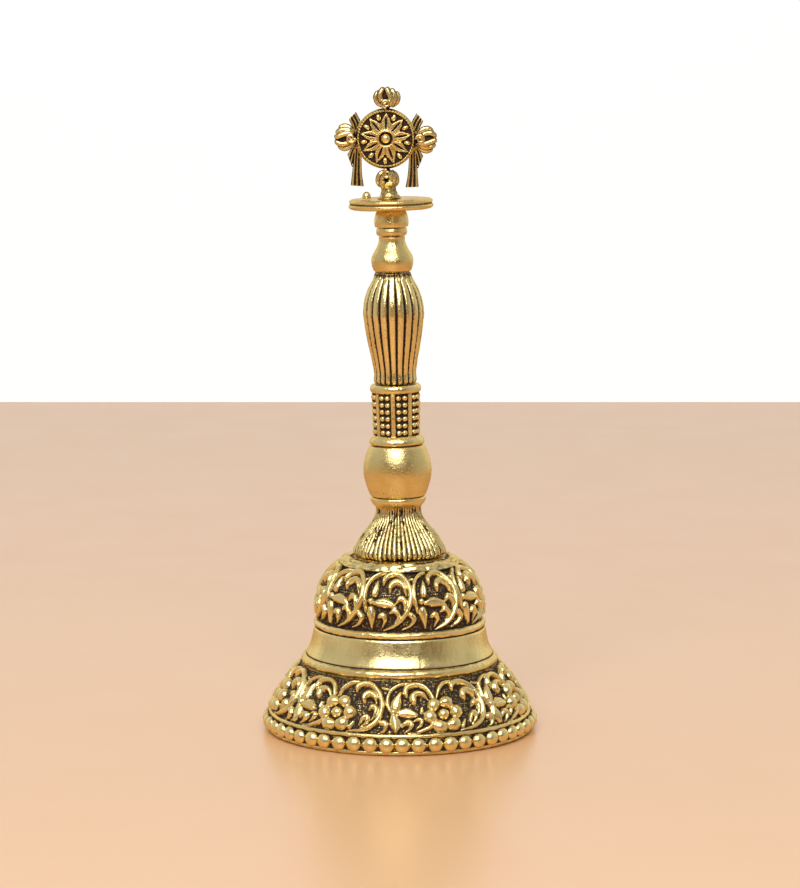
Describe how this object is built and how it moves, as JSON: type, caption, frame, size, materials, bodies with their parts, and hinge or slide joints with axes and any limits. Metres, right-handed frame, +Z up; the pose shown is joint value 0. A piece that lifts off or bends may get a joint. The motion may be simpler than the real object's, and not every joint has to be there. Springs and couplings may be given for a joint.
{
  "type": "brass hand bell",
  "caption": "Brass prayer hand bell with relief-cast cup, beaded lip, stacked ribbed handle, wheel-disc finial and a clapper that swings on a swivel.",
  "frame": {"origin": "on the cup's axis, in the plane of the lip that the bell stands on", "axes": "+Z up along the cup's axis towards the handle; the finial's disc faces -Y and +Y; the handle leans 1.4 degrees towards -X"},
  "size_m": [0.0768, 0.0768, 0.1782],
  "materials": {
    "aged_brass": "antique cast brass, dark in the recesses",
    "plain_brass": "satin turned brass",
    "steel": "dull steel, slightly browned"
  },
  "bodies": {
    "bell": {"bell_cup": "aged_brass", "crown_washer": "aged_brass", "inner_washer": "steel", "crown_nut": "plain_brass", "tie_rod": "steel", "handle_foot": "aged_brass", "handle_ball": "plain_brass", "studded_collar": "aged_brass", "fluted_grip": "aged_brass", "pear_bulb": "plain_brass", "neck_ring": "plain_brass", "top_knob": "plain_brass", "finial_plate": "plain_brass", "plate_stud": "plain_brass", "finial_post": "aged_brass", "chakra_disc": "aged_brass", "flame_top": "aged_brass", "flame_left": "aged_brass", "flame_right": "aged_brass", "ribbon_left": "aged_brass", "ribbon_right": "aged_brass"},
    "swivel": {"clapper_swivel": "steel"},
    "clapper": {"clapper_rod": "steel", "clapper_ball": "plain_brass"}
  },
  "joints": [
    {"name": "clapper_turn", "type": "hinge", "parent": "bell", "child": "swivel", "pos_m": [0, 0, 0.03465], "axis": [0, 0, 1], "continuous": true},
    {"name": "clapper_swing", "type": "hinge", "parent": "swivel", "child": "clapper", "pos_m": [0, 0, 0.03275], "axis": [1, 0, 0], "range_deg": [-46, 46]}
  ]
}
